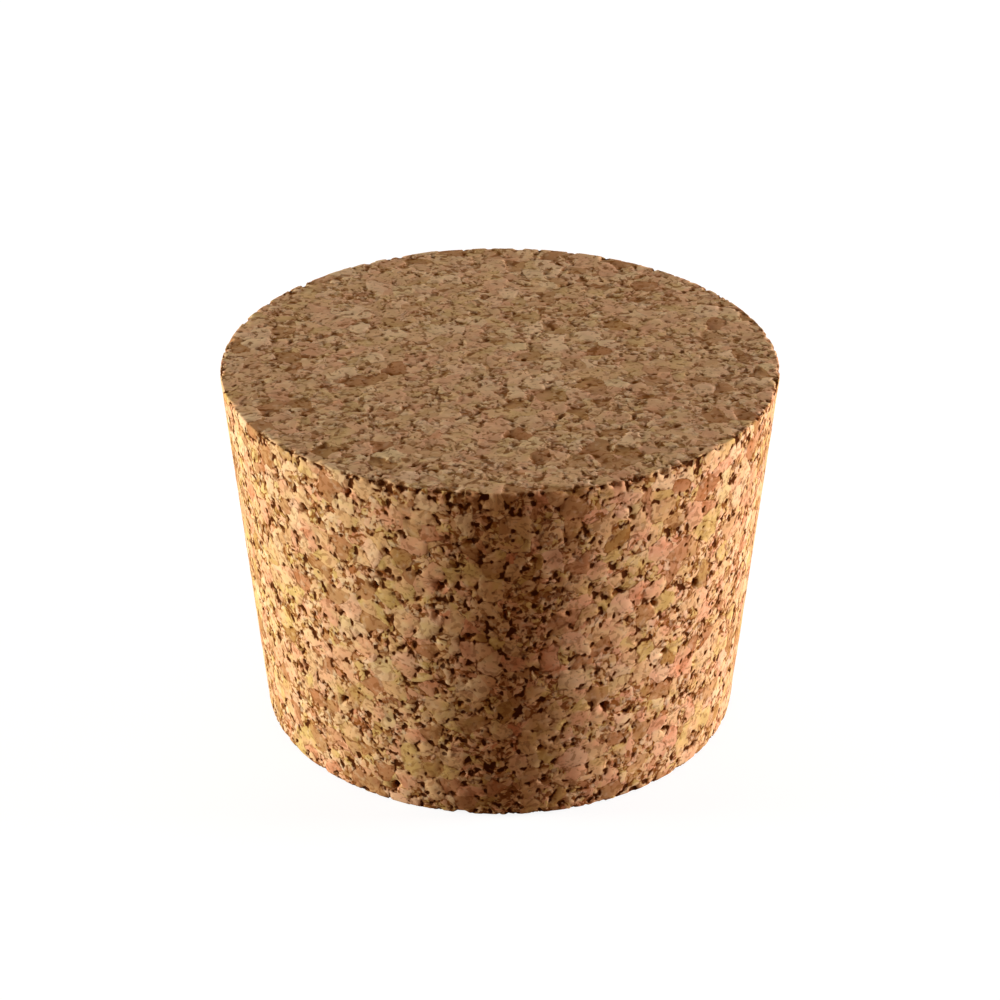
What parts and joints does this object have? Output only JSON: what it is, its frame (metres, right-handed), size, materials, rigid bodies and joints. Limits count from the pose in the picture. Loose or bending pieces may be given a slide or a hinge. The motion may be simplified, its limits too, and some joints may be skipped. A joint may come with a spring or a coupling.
{
  "type": "cork stopper",
  "caption": "Tapered round stopper of bonded cork granules, with flat ends and a rough, pitted side that wedges into a round mouth.",
  "frame": {"origin": "centre of the small end, which the stopper stands on", "axes": "+Z along the stopper's axis, from the small end to the wide end; X and Y are free, as the body is round"},
  "size_m": [0.0554, 0.0554, 0.038],
  "materials": {
    "cork": "matt, granular and pitted"
  },
  "bodies": {
    "root": {"stopper": "cork"}
  },
  "joints": []
}
